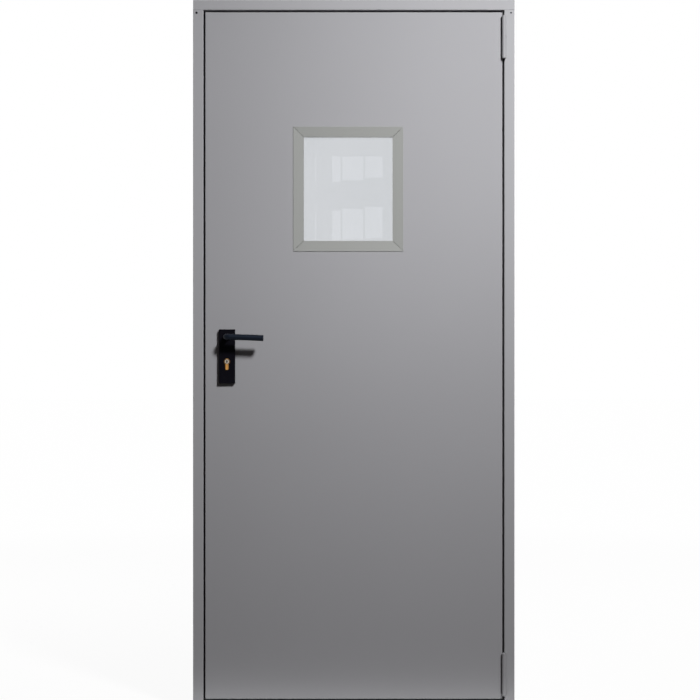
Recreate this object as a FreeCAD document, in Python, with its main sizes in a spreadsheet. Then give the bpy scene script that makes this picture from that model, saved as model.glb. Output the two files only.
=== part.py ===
import FreeCAD, Part
import os
import Sketcher

# Steel utility door: folded steel frame, insulated double-skin leaf, glazed vision panel,
# two barrel hinges on the right and a lever handle on the left.
# +X is to the right seen from the front, +Y goes into the wall, +Z is up.
# The origin is on the floor, at mid width, in the plane of the wall's face.

doc = FreeCAD.newDocument("UtilityDoor")
sheet = doc.addObject("Spreadsheet::Sheet", "Sizes")

# Every size that can be set by itself, in millimetres or degrees
SIZES = [
    # frame
    ("clear_width", "880", "width between the jamb faces"),
    ("clear_top", "2050", "height of the head's underside over the floor"),
    ("face_width", "30", "width of the frame's front face"),
    ("frame_sheet", "1.5", "sheet thickness of the frame"),
    ("face_proud", "12", "how far the frame's face stands off the wall"),
    ("wall_return", "14", "width of the lip that lies on the wall"),
    ("rebate_depth", "68.5", "depth of the rebate that takes the leaf"),
    ("stop_width", "20", "how far the stop reaches into the opening"),
    ("stop_depth", "26", "depth of the stop behind the rebate"),
    ("rear_return", "26", "width of the lip at the back of the frame"),
    ("bend_inside", "0.5", "inside radius of the frame's folds"),
    ("cope_gap", "0.5", "gap where frame pieces meet inside one another"),
    ("seal_width", "10", "width of the rubber strip on the stop"),
    ("seal_thick", "3", "thickness of the rubber strip on the stop"),
    ("seal_edge", "5", "distance of the rubber strip from the stop's edge"),
    ("anchor_hole", "11", "diameter of a wall anchor hole"),
    ("anchor_depth", "20", "distance of the anchor holes behind the wall's face"),
    ("anchor_low", "250", "height of the lowest anchor hole"),
    ("anchor_pitch", "540", "distance between anchor holes"),
    ("anchor_count", "4", "anchor holes in each jamb"),
    ("threshold_rise", "30", "height of the threshold's deck"),
    ("upstand_rise", "18", "height of the threshold's stop over its deck"),
    ("floor_lip", "42", "depth of the threshold's lip on the floor"),
    ("floor_hole", "7", "diameter of a floor screw hole"),
    ("floor_hole_depth", "12", "distance of the floor screws behind the wall's face"),
    ("floor_hole_pitch", "600", "distance between the two floor screws"),
    ("bracket_width", "20", "width of the corner bracket"),
    ("bracket_rise", "56", "height of the corner bracket"),
    ("bracket_sheet", "2", "thickness of the corner bracket"),
    ("bracket_shift", "3", "how far the corner bracket lies inward of its rivet"),
    ("rivet_hole", "4", "diameter of the rivet hole near the frame's corner"),
    ("rivet_drop", "8", "distance of the rivet hole below the head"),
    ("rivet_inset", "10", "distance of the rivet hole from the frame's outer edge"),
    # leaf
    ("side_gap", "5.5", "gap between leaf and jamb"),
    ("top_gap", "6.6", "gap between leaf and head"),
    ("bottom_gap", "5.2", "gap between leaf and threshold"),
    ("leaf_thick", "60", "thickness of the leaf"),
    ("skin_sheet", "1", "sheet thickness of the leaf's skins"),
    ("skin_return", "17", "depth of the skins' folded edges"),
    ("skin_bend", "0.6", "inside radius of the skins' folded edges"),
    ("groove_depth", "3.5", "depth of the groove round the leaf's edge"),
    ("lock_edge_relief", "2.5", "how much narrower the back skin is at the lock edge"),
    ("channel_sheet", "1.2", "sheet thickness of the edge channels"),
    ("channel_leg", "30", "leg length of the edge channels"),
    ("core_play", "0.2", "play between the core and the channels"),
    ("strip_width", "18", "width of the swelling strip in the edge groove"),
    ("strip_thick", "2", "thickness of the swelling strip"),
    # glazed panel
    ("sight_width", "260", "visible width of the glass"),
    ("sight_rise", "303", "visible height of the glass"),
    ("window_x", "-16.2", "position of the glass centre across the door"),
    ("window_z", "1526.5", "height of the glass centre"),
    ("trim_face", "31", "width of the trim's face"),
    ("trim_thick", "1.6", "thickness of the trim's face"),
    ("trim_leg", "2", "thickness of the trim's inner leg"),
    ("trim_edge", "0.5", "bevel on the trim's outer edge"),
    ("mitre_gap", "1.1", "gap in the trim's mitres"),
    ("back_rim", "10", "how far the back trims' opening is wider than the sight size"),
    ("skin_hole_rim", "22", "how far the hole in the skins is wider than the sight size"),
    ("glass_rim", "19", "how far the glass runs under the trim"),
    ("pane_thick", "4", "thickness of a pane"),
    ("cavity_thick", "16", "distance between the panes"),
    ("spacer_width", "8", "width of the spacer bar"),
    ("glass_seal_width", "8", "width of the glazing seal"),
    ("glass_seal_thick", "2", "thickness of the glazing seal"),
    ("glass_recess", "6", "distance of the front pane behind the leaf's face"),
    # hinges
    ("barrel_size", "12.8", "diameter of the hinge barrel"),
    ("barrel_rise", "124", "height of the hinge barrel"),
    ("barrel_proud", "8", "distance of the hinge axis in front of the leaf"),
    ("barrel_inset", "1", "distance of the hinge axis from the jamb face"),
    ("barrel_chamfer", "1", "chamfer at the ends of the barrel"),
    ("knuckle_gap", "0.8", "gap between the two knuckles"),
    ("pin_size", "6.6", "diameter of the hinge pin"),
    ("pin_play", "0.2", "play round the hinge pin"),
    ("pin_engagement", "48", "how far the pin reaches into the upper knuckle"),
    ("wing_thick", "3", "thickness of a hinge wing"),
    ("wing_depth", "42", "how far a hinge wing reaches into the door"),
    ("wing_knee", "18", "distance from the hinge axis to the bend of the leaf's wing"),
    ("hinge_notch", "114", "height of the notch in the leaf for a hinge"),
    ("hinge_inset", "73", "distance of a hinge's centre from the leaf's end"),
    # lock and handles
    ("backset", "64.5", "distance of the handle from the lock edge"),
    ("lever_height", "1094", "height of the handle's pivot"),
    ("lock_centres", "72", "distance from the handle's pivot down to the key cylinder"),
    ("plate_width", "46.6", "width of the handle plate"),
    ("plate_rise", "158", "height of the handle plate"),
    ("plate_thick", "11.4", "thickness of the handle plate"),
    ("plate_over", "22", "how far the plate reaches above the pivot"),
    ("plate_edge", "1.1", "bevel of the plate's edges"),
    ("badge_width", "38", "width of the bare recessed field on the plate"),
    ("badge_rise", "23", "height of the bare recessed field on the plate"),
    ("badge_drop", "40.5", "distance of the field's centre below the pivot"),
    ("badge_depth", "0.5", "depth of the field"),
    ("lever_size", "17.5", "diameter of the lever"),
    ("lever_reach", "108.2", "length of the lever from its pivot to its end"),
    ("lever_offset", "50", "distance of the lever's axis from the leaf"),
    ("lever_bend", "10", "bend radius of the lever's axis"),
    ("lever_droop", "2", "how much the lever hangs at rest"),
    ("lever_root", "1", "distance of the lever's root from the leaf"),
    ("lever_edge", "0.8", "bevel at the lever's end"),
    ("lever_play", "0.4", "play between the lever and the plate"),
    ("spindle_size", "9", "width of the square spindle"),
    ("spindle_play", "0.1", "play between the spindle and the levers"),
    ("spindle_grip", "26", "how far the spindle reaches into a lever"),
    ("spindle_passage", "20", "diameter of the hole for the spindle in the leaf"),
    ("follower_hole", "14", "diameter of the hole for the spindle in the lock case"),
    ("cylinder_head", "17", "diameter of the key cylinder's round part"),
    ("cylinder_tail", "10", "width of the key cylinder's lower part"),
    ("cylinder_rise", "33", "height of the key cylinder"),
    ("cylinder_proud", "2", "how far the key cylinder stands off the plate"),
    ("cylinder_play", "0.3", "play round the key cylinder"),
    ("plug_size", "12.6", "diameter of the cylinder's plug"),
    ("plug_length", "30", "length of a plug"),
    ("plug_play", "0.1", "play round the plug"),
    ("plug_proud", "0.3", "how far the plug stands off the cylinder"),
    ("keyway_width", "2.2", "width of the keyway"),
    ("keyway_rise", "8.4", "height of the keyway"),
    ("keyway_depth", "22", "depth of the keyway"),
    ("face_plate_rise", "235", "height of the lock's face plate"),
    ("face_plate_width", "24", "width of the lock's face plate"),
    ("face_plate_thick", "3", "thickness of the lock's face plate"),
    ("face_plate_drop", "31.5", "distance of the face plate's centre below the pivot"),
    ("case_rise", "165", "height of the lock case"),
    ("case_depth", "88", "depth of the lock case"),
    ("case_thick", "15", "thickness of the lock case"),
    ("bolt_thick", "11", "thickness of the latch and the dead bolt"),
    ("bolt_play", "0.4", "play round the latch and the dead bolt"),
    ("latch_rise", "34", "height of the latch"),
    ("latch_length", "30", "length of the latch"),
    ("latch_lift", "1", "distance of the latch's centre above the pivot"),
    ("latch_slant", "7", "depth of the latch's slanted nose"),
    ("dead_rise", "38", "height of the dead bolt"),
    ("dead_length", "36", "length of the dead bolt"),
    ("dead_drop", "55.5", "distance of the dead bolt's centre below the pivot"),
    ("strike_play", "3", "play of the bolts in the jamb's slots"),
    ("keeper_depth", "20", "depth of the box behind the jamb's slots"),
    ("keeper_sheet", "1.5", "wall of the box behind the jamb's slots"),
    ("keeper_rim", "6", "how far the box reaches past the slots"),
]


class Size:
    """A length together with the sheet formula that drives it."""

    def __init__(self, formula, number):
        self.formula = formula
        self.number = number

    def __add__(self, other):
        other = as_size(other)
        return Size(f"({self.formula} + {other.formula})", self.number + other.number)

    def __radd__(self, other):
        return as_size(other) + self

    def __sub__(self, other):
        other = as_size(other)
        return Size(f"({self.formula} - {other.formula})", self.number - other.number)

    def __rsub__(self, other):
        return as_size(other) - self

    def __mul__(self, other):
        other = as_size(other)
        return Size(f"({self.formula} * {other.formula})", self.number * other.number)

    def __rmul__(self, other):
        return as_size(other) * self

    def __truediv__(self, other):
        other = as_size(other)
        return Size(f"({self.formula} / {other.formula})", self.number / other.number)

    def __neg__(self):
        return Size(f"(0 - {self.formula})", -self.number)


def as_size(value):
    if isinstance(value, Size):
        return value
    if value < 0:
        return Size(f"(0 - {-value:g})", float(value))
    return Size(f"{value:g}", float(value))


class Sheet:
    """The named sizes, each as an attribute."""


d = Sheet()
for row, (alias, number, meaning) in enumerate(SIZES, start=1):
    sheet.set(f"A{row}", meaning)
    sheet.set(f"B{row}", number)
    sheet.setAlias(f"B{row}", alias)
    setattr(d, alias, Size(f"Sizes.{alias}", float(number)))
doc.recompute()


def bind(thing, prop, size):
    thing.setExpression(prop, as_size(size).formula)


def new_body(label, several=False):
    body = doc.addObject("PartDesign::Body", label)
    body.Label = label
    body.AllowCompound = several
    return body


def new_sketch(body, plane, level):
    """A sketch on one of the body's planes, shifted to a level along +X, +Y or +Z."""
    sketch = body.newObject("Sketcher::SketchObject", "Sketch")
    origin_plane = [f for f in body.Origin.OriginFeatures if f.Role == plane + "_Plane"]
    sketch.AttachmentSupport = [(origin_plane[0], "")]
    sketch.MapMode = "FlatFace"
    if plane == "XZ":
        level = -as_size(level)
    bind(sketch, "AttachmentOffset.Base.z", level)
    return sketch


def draw_polygon(sketch, corners):
    """A closed outline, each corner placed by its own pair of sizes."""
    corners = [(as_size(u), as_size(v)) for u, v in corners]
    first = sketch.GeometryCount
    count = len(corners)
    lines = []
    for i in range(count):
        a = corners[i]
        b = corners[(i + 1) % count]
        start = FreeCAD.Vector(a[0].number, a[1].number, 0)
        end = FreeCAD.Vector(b[0].number, b[1].number, 0)
        lines.append(Part.LineSegment(start, end))
    sketch.addGeometry(lines, False)
    rules = []
    driven = []
    for i in range(count):
        rules.append(Sketcher.Constraint("Coincident", first + i, 2, first + (i + 1) % count, 1))
    for i in range(count):
        u, v = corners[i]
        before = corners[i - 1]
        if i > 0 and before[0].formula == u.formula:
            rules.append(Sketcher.Constraint("Vertical", first + i - 1))
        else:
            driven.append((len(rules), u))
            rules.append(Sketcher.Constraint("DistanceX", -1, 1, first + i, 1, u.number))
        if i > 0 and before[1].formula == v.formula:
            rules.append(Sketcher.Constraint("Horizontal", first + i - 1))
        else:
            driven.append((len(rules), v))
            rules.append(Sketcher.Constraint("DistanceY", -1, 1, first + i, 1, v.number))
    offset = sketch.ConstraintCount
    sketch.addConstraint(rules)
    for index, size in driven:
        bind(sketch, f"Constraints[{offset + index}]", size)


def draw_circle(sketch, u, v, diameter):
    u, v, diameter = as_size(u), as_size(v), as_size(diameter)
    centre = FreeCAD.Vector(u.number, v.number, 0)
    index = sketch.GeometryCount
    sketch.addGeometry([Part.Circle(centre, FreeCAD.Vector(0, 0, 1), diameter.number / 2)], False)
    offset = sketch.ConstraintCount
    sketch.addConstraint(
        [
            Sketcher.Constraint("DistanceX", -1, 1, index, 3, u.number),
            Sketcher.Constraint("DistanceY", -1, 1, index, 3, v.number),
            Sketcher.Constraint("Diameter", index, diameter.number),
        ]
    )
    bind(sketch, f"Constraints[{offset}]", u)
    bind(sketch, f"Constraints[{offset + 1}]", v)
    bind(sketch, f"Constraints[{offset + 2}]", diameter)


def rectangle(low_u, high_u, low_v, high_v):
    return [(low_u, low_v), (high_u, low_v), (high_u, high_v), (low_u, high_v)]


def draw(sketch, outlines):
    for outline in outlines:
        if outline[0] == "circle":
            draw_circle(sketch, *outline[1:])
        else:
            draw_polygon(sketch, outline)


def pad(body, name, plane, low, high, outlines):
    """Material from the low level to the high level along the plane's axis."""
    low, high = as_size(low), as_size(high)
    sketch = new_sketch(body, plane, high if plane == "XZ" else low)
    draw(sketch, outlines)
    feature = body.newObject("PartDesign::Pad", name)
    feature.Profile = sketch
    feature.Type = 0
    bind(feature, "Length", high - low)
    body.Tip = feature
    doc.recompute()
    return feature


def pocket(body, name, plane, low, high, outlines):
    """A cut from the low level to the high level along the plane's axis."""
    low, high = as_size(low), as_size(high)
    sketch = new_sketch(body, plane, low if plane == "XZ" else high)
    draw(sketch, outlines)
    before = body.Shape.Volume
    feature = body.newObject("PartDesign::Pocket", name)
    feature.Profile = sketch
    feature.Type = 0
    bind(feature, "Length", high - low)
    body.Tip = feature
    doc.recompute()
    if not body.Shape.Volume < before - 0.01:
        raise RuntimeError(f"{body.Label}: {name} cuts nothing")
    return feature


def repeat(body, name, feature, axis, length, count):
    """Copies of a feature in a row along one of the body's axes."""
    pattern = body.newObject("PartDesign::LinearPattern", name)
    pattern.Originals = [feature]
    line = [f for f in body.Origin.OriginFeatures if f.Role == axis + "_Axis"]
    pattern.Direction = (line[0], [""])
    bind(pattern, "Length", length)
    bind(pattern, "Occurrences", count)
    body.Tip = pattern
    doc.recompute()
    return pattern


def dress(body, kind, name, size, wanted):
    """A fillet or chamfer on every edge that the test accepts."""
    base = body.Tip
    names = [f"Edge{i}" for i, edge in enumerate(base.Shape.Edges, start=1) if wanted(edge)]
    if not names:
        raise RuntimeError(f"{body.Label}: {name} finds no edge")
    feature = body.newObject("PartDesign::" + kind, name)
    feature.Base = (base, names)
    bind(feature, "Radius" if kind == "Fillet" else "Size", size)
    body.Tip = feature
    doc.recompute()
    return feature


def folded_outline(path, thickness, side):
    """Outline of a folded sheet: the path of its outer face, with the sheet on one side of it."""
    path = [(as_size(u), as_size(v)) for u, v in path]
    normals = []
    for a, b in zip(path, path[1:]):
        run = (b[0].number - a[0].number, b[1].number - a[1].number)
        length = abs(run[0]) + abs(run[1])
        normals.append((round(-run[1] / length) * side, round(run[0] / length) * side))
    inner = []
    bends = []
    for i, (u, v) in enumerate(path):
        touching = normals[max(i - 1, 0) : i + 1]
        if i == len(path) - 1:
            touching = normals[-1:]
        shift_u = sum(n[0] for n in touching)
        shift_v = sum(n[1] for n in touching)
        inner.append((u + thickness * shift_u, v + thickness * shift_v))
        if 0 < i < len(path) - 1:
            turn = normals[i - 1][0] * normals[i][1] - normals[i - 1][1] * normals[i][0]
            near = (u.number, v.number)
            far = (inner[-1][0].number, inner[-1][1].number)
            bends.append((far, near) if turn * side > 0 else (near, far))
    return path + inner[::-1], bends


def round_bends(body, plane, bends, inside, thickness):
    """The folds' inner and outer radii."""
    keep = {"XY": (0, 1), "YZ": (1, 2), "XZ": (0, 2)}[plane]

    def through(spots):
        def wanted(edge):
            if edge.Curve.TypeId != "Part::GeomLine":
                return False
            a = edge.Vertexes[0].Point
            b = edge.Vertexes[-1].Point
            flat = abs(a[keep[0]] - b[keep[0]]) + abs(a[keep[1]] - b[keep[1]])
            if flat > 0.001:
                return False
            return any(abs(a[keep[0]] - u) + abs(a[keep[1]] - v) < 0.01 for u, v in spots)

        return wanted

    dress(body, "Fillet", "InsideBends", inside, through([bend[0] for bend in bends]))
    dress(body, "Fillet", "OutsideBends", inside + thickness, through([bend[1] for bend in bends]))


# Places that several pieces share
half = d.clear_width / 2
outer = half + d.face_width
face_y = -d.face_proud
stop_y = d.rebate_depth - d.face_proud
rear_y = stop_y + d.stop_depth
head_top = d.clear_top + d.face_width

leaf_side = half - d.side_gap
leaf_front = face_y
leaf_back = face_y + d.leaf_thick
leaf_mid = (leaf_front + leaf_back) / 2
leaf_low = d.threshold_rise + d.bottom_gap
leaf_high = d.clear_top - d.top_gap
web_side = leaf_side - d.groove_depth
web_low = leaf_low + d.groove_depth
web_high = leaf_high - d.groove_depth
inner_front = leaf_front + d.skin_sheet
inner_back = leaf_back - d.skin_sheet

hinge_low = leaf_low + d.hinge_inset
hinge_high = leaf_high - d.hinge_inset
hinge_x = half - d.barrel_inset
hinge_y = leaf_front - d.barrel_proud

pivot_x = d.backset - leaf_side
pivot_z = d.lever_height
key_z = d.lever_height - d.lock_centres
tail_drop = d.cylinder_rise - d.cylinder_head / 2 - d.cylinder_tail / 2
face_plate_z = pivot_z - d.face_plate_drop
latch_z = pivot_z + d.latch_lift
dead_z = pivot_z - d.dead_drop
edge_x = -web_side

latch_low = latch_z - d.latch_rise / 2
latch_high = latch_z + d.latch_rise / 2
dead_low = dead_z - d.dead_rise / 2
dead_high = dead_z + d.dead_rise / 2
bolt_low_y = leaf_mid - d.bolt_thick / 2
bolt_high_y = leaf_mid + d.bolt_thick / 2


def key_shape(play):
    """The key cylinder's outline: a round head over a narrow tail with a round end."""
    tail = d.cylinder_tail / 2 + play
    return [
        [("circle", pivot_x, key_z, d.cylinder_head + play * 2)],
        [rectangle(pivot_x - tail, pivot_x + tail, key_z - tail_drop, key_z)],
        [("circle", pivot_x, key_z - tail_drop, d.cylinder_tail + play * 2)],
    ]


def cut_key_shape(body, low, high):
    for name, outlines in zip(("KeyHead", "KeyTail", "KeyEnd"), key_shape(d.cylinder_play)):
        pocket(body, name, "XZ", low, high, outlines)


# Frame jambs: one folded sheet each, from the lip on the wall to the lip at the back
def jamb(label, side):
    body = new_body(label)
    path = [
        (side * (outer - d.wall_return), 0),
        (side * outer, 0),
        (side * outer, face_y),
        (side * half, face_y),
        (side * half, stop_y),
        (side * (half - d.stop_width), stop_y),
        (side * (half - d.stop_width), rear_y),
        (side * (half - d.stop_width + d.rear_return), rear_y),
    ]
    outline, bends = folded_outline(path, d.frame_sheet, -side)
    pad(body, "Profile", "XY", 0, d.clear_top, [outline])
    round_bends(body, "XY", bends, d.bend_inside, d.frame_sheet)
    web = sorted([side * half, side * (half + d.frame_sheet)], key=lambda s: s.number)
    hole = pocket(
        body,
        "AnchorHole",
        "YZ",
        web[0] - 0.2,
        web[1] + 0.2,
        [("circle", d.anchor_depth, d.anchor_low, d.anchor_hole)],
    )
    repeat(body, "AnchorHoles", hole, "Z", d.anchor_pitch * (d.anchor_count - 1), d.anchor_count)
    rivet_x = side * (outer - d.rivet_inset)
    pocket(
        body,
        "RivetHole",
        "XZ",
        face_y - 0.2,
        face_y + d.frame_sheet + 0.2,
        [("circle", rivet_x, d.clear_top - d.rivet_drop, d.rivet_hole)],
    )
    if side < 0:
        slots = []
        for low, high in ((latch_low, latch_high), (dead_low, dead_high)):
            slots.append(
                rectangle(
                    bolt_low_y - d.strike_play,
                    bolt_high_y + d.strike_play,
                    low - d.strike_play,
                    high + d.strike_play,
                )
            )
        pocket(body, "BoltSlots", "YZ", web[0] - 0.2, web[1] + 0.2, slots)
    return body


left_jamb = jamb("frame_left_jamb", -1)
right_jamb = jamb("frame_right_jamb", 1)

# Frame head: the same section laid across the jambs, coped where the jambs' stops come up
head = new_body("frame_head")
head_path = [
    (0, head_top - d.wall_return),
    (0, head_top),
    (face_y, head_top),
    (face_y, d.clear_top),
    (stop_y, d.clear_top),
    (stop_y, d.clear_top - d.stop_width),
    (rear_y, d.clear_top - d.stop_width),
    (rear_y, d.clear_top - d.stop_width + d.rear_return),
]
head_outline, head_bends = folded_outline(head_path, d.frame_sheet, 1)
pad(head, "Profile", "YZ", -outer, outer, [head_outline])
round_bends(head, "YZ", head_bends, d.bend_inside, d.frame_sheet)
cope_in = half - d.stop_width - d.cope_gap
cope_out = outer + 1
cope_low = d.clear_top - d.stop_width - 1
pocket(
    head,
    "StopCopes",
    "XZ",
    face_y + d.frame_sheet + d.bend_inside,
    rear_y + 1,
    [
        rectangle(cope_in, cope_out, cope_low, d.clear_top),
        rectangle(-cope_out, -cope_in, cope_low, d.clear_top),
    ],
)
web_in = half + d.frame_sheet
pocket(
    head,
    "CornerCopes",
    "XZ",
    face_y + d.frame_sheet,
    rear_y + 1,
    [
        rectangle(web_in, cope_out, d.clear_top - 1, d.clear_top + d.frame_sheet + d.bend_inside),
        rectangle(-cope_out, -web_in, d.clear_top - 1, d.clear_top + d.frame_sheet + d.bend_inside),
    ],
)

# Threshold: folded sheet with a lip on the floor, a deck under the leaf and a stop behind it
threshold = new_body("threshold")
deck = d.threshold_rise
upstand = d.threshold_rise + d.upstand_rise
threshold_path = [
    (face_y + d.floor_lip, 0),
    (face_y, 0),
    (face_y, deck),
    (stop_y, deck),
    (stop_y, upstand),
    (rear_y, upstand),
    (rear_y, 0),
]
threshold_outline, threshold_bends = folded_outline(threshold_path, d.frame_sheet, -1)
pad(threshold, "Profile", "YZ", d.cope_gap - half, half - d.cope_gap, [threshold_outline])
round_bends(threshold, "YZ", threshold_bends, d.bend_inside, d.frame_sheet)
pocket(
    threshold,
    "StopCopes",
    "XY",
    -1,
    upstand + 1,
    [
        rectangle(cope_in, half + 1, stop_y - d.cope_gap, rear_y + 1),
        rectangle(-half - 1, -cope_in, stop_y - d.cope_gap, rear_y + 1),
    ],
)
floor_hole = pocket(
    threshold,
    "FloorHole",
    "XY",
    -1,
    deck + 1,
    [("circle", -d.floor_hole_pitch / 2, d.floor_hole_depth, d.floor_hole)],
)
repeat(threshold, "FloorHoles", floor_hole, "X", d.floor_hole_pitch, 2)


# Corner brackets: a strap behind the face that ties a jamb to the head, with the rivet's hole
def corner_bracket(label, side):
    body = new_body(label)
    rivet_x = side * (outer - d.rivet_inset)
    middle = side * (outer - d.rivet_inset - d.bracket_shift)
    centre_z = d.clear_top - d.rivet_drop / 2
    back = face_y + d.frame_sheet
    strap = rectangle(
        middle - d.bracket_width / 2,
        middle + d.bracket_width / 2,
        centre_z - d.bracket_rise / 2,
        centre_z + d.bracket_rise / 2,
    )
    pad(body, "Strap", "XZ", back, back + d.bracket_sheet, [strap])
    pocket(
        body,
        "RivetHole",
        "XZ",
        back - 0.2,
        back + d.bracket_sheet + 0.2,
        [("circle", rivet_x, d.clear_top - d.rivet_drop, d.rivet_hole)],
    )
    return body


left_bracket = corner_bracket("left_corner_bracket", -1)
right_bracket = corner_bracket("right_corner_bracket", 1)

# Rubber strips on the stops, where the closed leaf comes to rest
seal = new_body("frame_seal", several=True)
seal_out = half - d.stop_width + d.seal_edge + d.seal_width
seal_in = half - d.stop_width + d.seal_edge
seal_y = stop_y - d.seal_thick
seal_low = upstand + 2
seal_high = d.clear_top - d.stop_width + d.seal_edge - 1
pad(
    seal,
    "SideStrips",
    "XY",
    seal_low,
    seal_high,
    [
        rectangle(seal_in, seal_out, seal_y, stop_y),
        rectangle(-seal_out, -seal_in, seal_y, stop_y),
    ],
)
head_seal_low = d.clear_top - d.stop_width + d.seal_edge
pad(
    seal,
    "HeadStrip",
    "YZ",
    -seal_out,
    seal_out,
    [rectangle(seal_y, stop_y, head_seal_low, head_seal_low + d.seal_width)],
)
dress(
    seal,
    "Fillet",
    "StripNoses",
    d.seal_thick / 3,
    lambda edge: edge.Length > 500 and abs(edge.CenterOfMass.y - seal_y.number) < 0.01,
)

# Box behind the jamb's slots, where the latch and the dead bolt go in
keeper = new_body("strike_box")
keeper_front = -half - d.frame_sheet
keeper_low_y = bolt_low_y - d.strike_play - d.keeper_rim
keeper_high_y = bolt_high_y + d.strike_play + d.keeper_rim
keeper_low_z = dead_low - d.strike_play - d.keeper_rim
keeper_high_z = latch_high + d.strike_play + d.keeper_rim
pad(
    keeper,
    "Box",
    "YZ",
    keeper_front - d.keeper_depth,
    keeper_front,
    [rectangle(keeper_low_y, keeper_high_y, keeper_low_z, keeper_high_z)],
)
pocket(
    keeper,
    "Inside",
    "YZ",
    keeper_front - d.keeper_depth + d.keeper_sheet,
    keeper_front,
    [
        rectangle(
            keeper_low_y + d.keeper_sheet,
            keeper_high_y - d.keeper_sheet,
            keeper_low_z + d.keeper_sheet,
            keeper_high_z - d.keeper_sheet,
        )
    ],
)

# Places of the window's edges
window_left = d.window_x - d.sight_width / 2
window_right = d.window_x + d.sight_width / 2
window_low = d.window_z - d.sight_rise / 2
window_high = d.window_z + d.sight_rise / 2


def window_outline(rim):
    return rectangle(window_left - rim, window_right + rim, window_low - rim, window_high + rim)


# Leaf skins: pans with folded edges and a narrow lip that closes on the edge channels
def skin(label, front):
    body = new_body(label)
    if front:
        low, high = leaf_front, leaf_front + d.skin_return
        inside = (leaf_front + d.skin_sheet, high - d.skin_sheet)
        mouth = (high - d.skin_sheet, high)
        face = (low - 0.5, low + d.skin_sheet + 0.5)
        lock_edge = -leaf_side
    else:
        low, high = leaf_back - d.skin_return, leaf_back
        inside = (low + d.skin_sheet, high - d.skin_sheet)
        mouth = (low, low + d.skin_sheet)
        face = (high - d.skin_sheet - 0.5, high + 0.5)
        lock_edge = -leaf_side + d.lock_edge_relief
    t = d.skin_sheet
    pad(body, "Pan", "XZ", low, high, [rectangle(lock_edge, leaf_side, leaf_low, leaf_high)])
    shown = leaf_front.number if front else leaf_back.number
    dress(
        body,
        "Fillet",
        "OutsideBends",
        d.skin_bend + t,
        lambda edge: abs(edge.CenterOfMass.y - shown) < 0.01,
    )
    pan_inside = rectangle(lock_edge + t, leaf_side - t, leaf_low + t, leaf_high - t)
    pocket(body, "Inside", "XZ", inside[0], inside[1], [pan_inside])
    pan_mouth = rectangle(-web_side, web_side, web_low, web_high)
    pocket(body, "Mouth", "XZ", mouth[0], mouth[1], [pan_mouth])
    pocket(body, "WindowHole", "XZ", face[0], face[1], [window_outline(d.skin_hole_rim)])
    pocket(
        body,
        "SpindleHole",
        "XZ",
        face[0],
        face[1],
        [("circle", pivot_x, pivot_z, d.spindle_passage)],
    )
    cut_key_shape(body, face[0], face[1])
    if front:
        notches = []
        for level in (hinge_low, hinge_high):
            notches.append(
                rectangle(
                    web_side,
                    leaf_side + 1,
                    level - d.hinge_notch / 2,
                    level + d.hinge_notch / 2,
                )
            )
        pocket(body, "HingeNotches", "XZ", low - 0.5, high + 0.5, notches)
    return body


front_skin = skin("leaf_front_skin", True)
back_skin = skin("leaf_back_skin", False)


# Edge channels: upright stiles at both sides, rails between them at the top and the bottom
def stile(label, side):
    body = new_body(label)
    path = [
        (side * (web_side - d.channel_leg), inner_front),
        (side * web_side, inner_front),
        (side * web_side, inner_back),
        (side * (web_side - d.channel_leg), inner_back),
    ]
    outline, bends = folded_outline(path, d.channel_sheet, side)
    pad(body, "Channel", "XY", web_low, web_high, [outline])
    round_bends(body, "XY", bends, d.bend_inside, d.channel_sheet)
    if side < 0:
        case_play = d.bolt_play
        pocket(
            body,
            "LockMortise",
            "YZ",
            -web_side - 0.5,
            -web_side + d.channel_sheet + 0.5,
            [
                rectangle(
                    leaf_mid - d.case_thick / 2 - case_play,
                    leaf_mid + d.case_thick / 2 + case_play,
                    face_plate_z - d.case_rise / 2 - case_play,
                    face_plate_z + d.case_rise / 2 + case_play,
                )
            ],
        )
    return body


lock_stile = stile("leaf_lock_stile", -1)
hinge_stile = stile("leaf_hinge_stile", 1)


def rail(label, up):
    body = new_body(label)
    level = web_high if up > 0 else web_low
    path = [
        (inner_front, level - up * d.channel_leg),
        (inner_front, level),
        (inner_back, level),
        (inner_back, level - up * d.channel_leg),
    ]
    outline, bends = folded_outline(path, d.channel_sheet, -up)
    reach = web_side - d.channel_leg - d.cope_gap
    pad(body, "Channel", "YZ", -reach, reach, [outline])
    round_bends(body, "YZ", bends, d.bend_inside, d.channel_sheet)
    return body


top_rail = rail("leaf_top_rail", 1)
bottom_rail = rail("leaf_bottom_rail", -1)

# Mineral wool core between the channels, cut out for the window and the lock
core = new_body("leaf_core")
core_side = web_side - d.channel_sheet - d.core_play
core_front = inner_front + d.channel_sheet + d.core_play
core_back = inner_back - d.channel_sheet - d.core_play
pad(
    core,
    "Slab",
    "XZ",
    core_front,
    core_back,
    [
        rectangle(
            -core_side,
            core_side,
            web_low + d.channel_sheet + d.core_play,
            web_high - d.channel_sheet - d.core_play,
        )
    ],
)
pocket(core, "WindowHole", "XZ", core_front - 1, core_back + 1, [window_outline(d.skin_hole_rim)])
case_back_x = -web_side + d.case_depth
lock_recess = rectangle(
    -core_side - 1,
    case_back_x + 1,
    face_plate_z - d.case_rise / 2 - 1,
    face_plate_z + d.case_rise / 2 + 1,
)
pocket(core, "LockRecess", "XZ", core_front - 1, core_back + 1, [lock_recess])

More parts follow.
